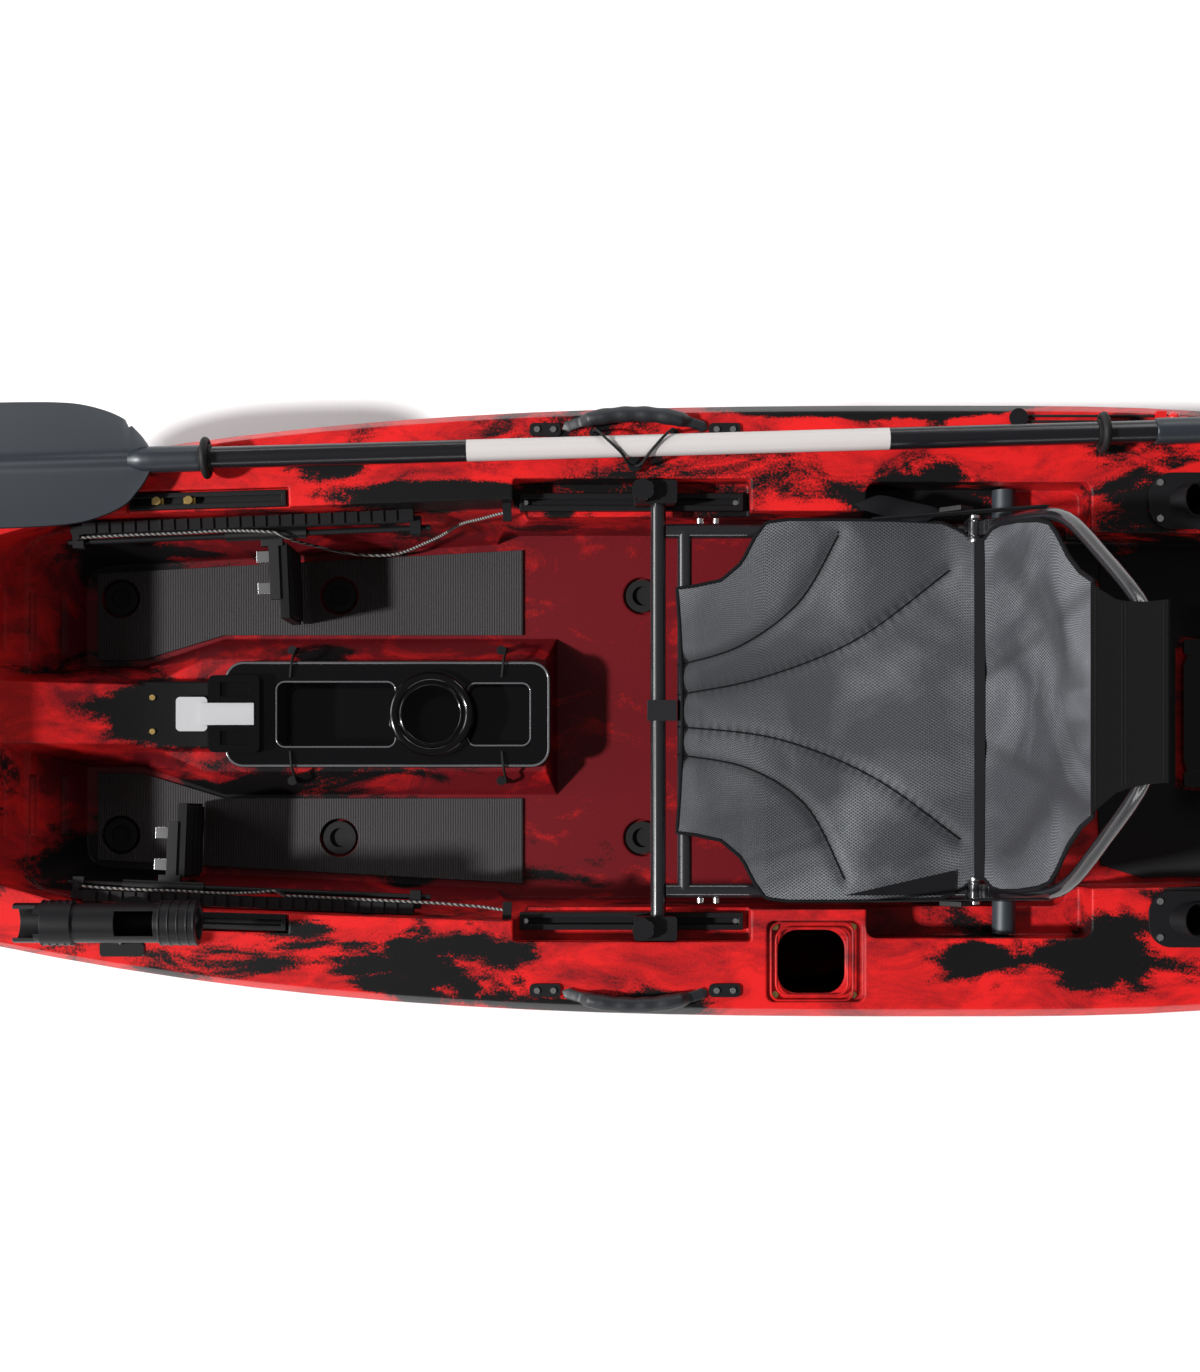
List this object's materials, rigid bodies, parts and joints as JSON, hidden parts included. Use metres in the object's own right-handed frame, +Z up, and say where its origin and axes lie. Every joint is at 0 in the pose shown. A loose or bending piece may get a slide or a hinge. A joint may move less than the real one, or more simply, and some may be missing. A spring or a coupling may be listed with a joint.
{
  "type": "sit-on-top fishing kayak",
  "caption": "Moulded sit-on-top fishing kayak with mesh seat, foot steering, console tray, rod holders, stowed paddle and lifting rudder.",
  "frame": {"origin": "on the flat keel face, at the middle of the hull's length and width", "axes": "+X to the stern, +Y to starboard, +Z up"},
  "size_m": [3.399, 0.8817, 0.7303],
  "materials": {
    "hull_plastic": "rotomoulded, red and black marbled",
    "black_plastic": "fine texture",
    "rubber_black": "matte",
    "foam_grey": "finely ribbed",
    "grip": "padded",
    "gloss_black": "glossy",
    "pale_plastic": "smooth",
    "shaft_black": "satin",
    "brass": "turned",
    "bright_metal": "bright",
    "tube_paint": "black satin",
    "mesh_cloth": "woven open mesh",
    "panel_cloth": "coated cloth",
    "elastic": "sheathed elastic",
    "braid": "black and white braid",
    "red_plastic": "smooth"
  },
  "bodies": {
    "hull": {"hull_moulding": "hull_plastic", "drain_plug": "black_plastic", "gear_tracks": "black_plastic", "seat_rails": "black_plastic", "foot_rails": "black_plastic", "foot_mats": "foam_grey", "tank_mat": "rubber_black", "rod_tubes": "black_plastic", "brass_screws": "brass", "steel_screws": "bright_metal", "handle_plates": "black_plastic", "scupper_plugs": "rubber_black", "pod_hooks": "black_plastic", "bungee_loops": "elastic", "keeper_bungee": "elastic", "deck_buttons": "black_plastic", "lift_line": "elastic", "cord_eyes": "bright_metal", "starboard_steering_cord": "braid", "port_steering_cord": "braid", "holder_base": "black_plastic", "rudder_bracket": "black_plastic"},
    "track_nuts": {"track_nuts": "brass"},
    "starboard_handle": {"starboard_handle": "grip"},
    "port_handle": {"port_handle": "grip"},
    "pod": {"pod_tray": "gloss_black", "pod_latch": "gloss_black"},
    "tongue": {"latch_tongue": "pale_plastic"},
    "seat": {"seat_crossbar": "tube_paint", "seat_clamps": "black_plastic", "seat_frame": "tube_paint", "seat_rear_bar": "tube_paint", "seat_end_caps": "black_plastic", "seat_mesh": "mesh_cloth", "seat_bolts": "bright_metal", "seat_straps": "panel_cloth", "seat_buckles": "black_plastic"},
    "starboard_knob": {"starboard_clamp_knob": "black_plastic"},
    "port_knob": {"port_clamp_knob": "black_plastic"},
    "seat_back": {"back_frame": "tube_paint", "back_mesh": "mesh_cloth", "back_panel": "panel_cloth"},
    "starboard_rod": {"starboard_steering_rod": "black_plastic"},
    "port_rod": {"port_steering_rod": "black_plastic"},
    "starboard_pedal": {"starboard_pedal": "black_plastic", "starboard_pedal_brackets": "bright_metal"},
    "port_pedal": {"port_pedal": "black_plastic", "port_pedal_brackets": "bright_metal"},
    "holder_turn": {"holder_yoke": "black_plastic"},
    "holder": {"holder_tube": "black_plastic"},
    "holder_knob": {"holder_knob": "black_plastic"},
    "paddle": {"paddle_shaft": "shaft_black", "paddle_centre": "pale_plastic", "paddle_blades": "shaft_black", "drip_rings": "rubber_black"},
    "toggle": {"lift_toggle": "red_plastic"},
    "bow_lid": {"bow_hatch_lid": "gloss_black"},
    "rear_lid": {"rear_hatch_lid": "gloss_black"},
    "rudder_head": {"rudder_head": "black_plastic"},
    "rudder_blade": {"rudder_blade": "black_plastic"}
  },
  "joints": [
    {"name": "track_nut_slide", "type": "slide", "parent": "hull", "child": "track_nuts", "axis": [0.9996, 0.0297, 0], "range_m": [-0.02, 0.1]},
    {"name": "starboard_handle_lift", "type": "hinge", "parent": "hull", "child": "starboard_handle", "pos_m": [0.047, 0.371, 0.3006], "axis": [1, 0, 0], "range_deg": [0, 30]},
    {"name": "port_handle_lift", "type": "hinge", "parent": "hull", "child": "port_handle", "pos_m": [0.047, -0.371, 0.3006], "axis": [-1, 0, 0], "range_deg": [0, 90]},
    {"name": "pod_lift", "type": "slide", "parent": "hull", "child": "pod", "axis": [0, 0, 1], "range_m": [0, 0.25], "deforming": ["bungee_loops"]},
    {"name": "latch_tongue_slide", "type": "slide", "parent": "pod", "child": "tongue", "axis": [1, 0, 0], "range_m": [-0.03, 0]},
    {"name": "seat_slide", "type": "slide", "parent": "hull", "child": "seat", "axis": [1, 0, 0], "range_m": [-0.1, 0.06]},
    {"name": "starboard_knob_turn", "type": "hinge", "parent": "seat", "child": "starboard_knob", "pos_m": [0.058, 0.295, 0.302], "axis": [0, 0, 1], "range_deg": [0, 720]},
    {"name": "port_knob_turn", "type": "hinge", "parent": "seat", "child": "port_knob", "pos_m": [0.058, -0.295, 0.302], "axis": [0, 0, 1], "range_deg": [0, 720]},
    {"name": "back_fold", "type": "hinge", "parent": "seat", "child": "seat_back", "pos_m": [0.505, 0, 0.304], "axis": [0, 1, 0], "range_deg": [-90, 0], "deforming": ["seat_straps", "seat_buckles"]},
    {"name": "starboard_rod_slide", "type": "slide", "parent": "hull", "child": "starboard_rod", "axis": [0.9991, 0.0417, 0], "range_m": [-0.03, 0.03]},
    {"name": "port_rod_slide", "type": "slide", "parent": "hull", "child": "port_rod", "axis": [0.9991, -0.0417, 0], "range_m": [-0.03, 0.03]},
    {"name": "starboard_pedal_adjust", "type": "slide", "parent": "starboard_rod", "child": "starboard_pedal", "axis": [0.9991, 0.0417, 0], "range_m": [-0.12, 0.04], "deforming": ["starboard_steering_cord"]},
    {"name": "port_pedal_adjust", "type": "slide", "parent": "port_rod", "child": "port_pedal", "axis": [0.9991, -0.0417, 0], "range_m": [-0.01, 0.18], "deforming": ["port_steering_cord"]},
    {"name": "holder_swivel", "type": "hinge", "parent": "hull", "child": "holder_turn", "pos_m": [-0.628, -0.28109, 0.34], "axis": [0, 0, 1], "range_deg": [-180, 180]},
    {"name": "holder_tilt", "type": "hinge", "parent": "holder_turn", "child": "holder", "pos_m": [-0.628, -0.28109, 0.365], "axis": [0, -1, 0], "range_deg": [-25, 25]},
    {"name": "holder_knob_turn", "type": "hinge", "parent": "holder_turn", "child": "holder_knob", "pos_m": [-0.628, -0.28109, 0.365], "axis": [0, -1, 0], "range_deg": [0, 360]},
    {"name": "paddle_lift", "type": "slide", "parent": "hull", "child": "paddle", "axis": [0, 0, 1], "range_m": [0, 0.25], "deforming": ["keeper_bungee"]},
    {"name": "rudder_steer", "type": "hinge", "parent": "hull", "child": "rudder_head", "pos_m": [1.702, 0, 0.33], "axis": [0, 0, 1], "range_deg": [-35, 35]},
    {"name": "rudder_lift", "type": "hinge", "parent": "rudder_head", "child": "rudder_blade", "pos_m": [1.702, 0, 0.4], "axis": [0, 1, 0], "range_deg": [0, 240]},
    {"name": "toggle_pull", "type": "slide", "parent": "hull", "child": "toggle", "axis": [1, 0, 0], "range_m": [0, 0.12], "deforming": ["lift_line"]},
    {"name": "bow_lid_lift", "type": "slide", "parent": "hull", "child": "bow_lid", "axis": [0, 0, 1], "range_m": [0, 0.2]},
    {"name": "rear_lid_open", "type": "hinge", "parent": "hull", "child": "rear_lid", "pos_m": [1.12, 0, 0.1954], "axis": [0, 1, 0], "range_deg": [0, 88]}
  ],
  "couplings": [
    {"joint": "starboard_rod_slide", "follows": "rudder_steer", "m_per_rad": 0.049},
    {"joint": "port_rod_slide", "follows": "rudder_steer", "m_per_rad": -0.049},
    {"joint": "toggle_pull", "follows": "rudder_lift", "m_per_rad": 0.0286}
  ]
}
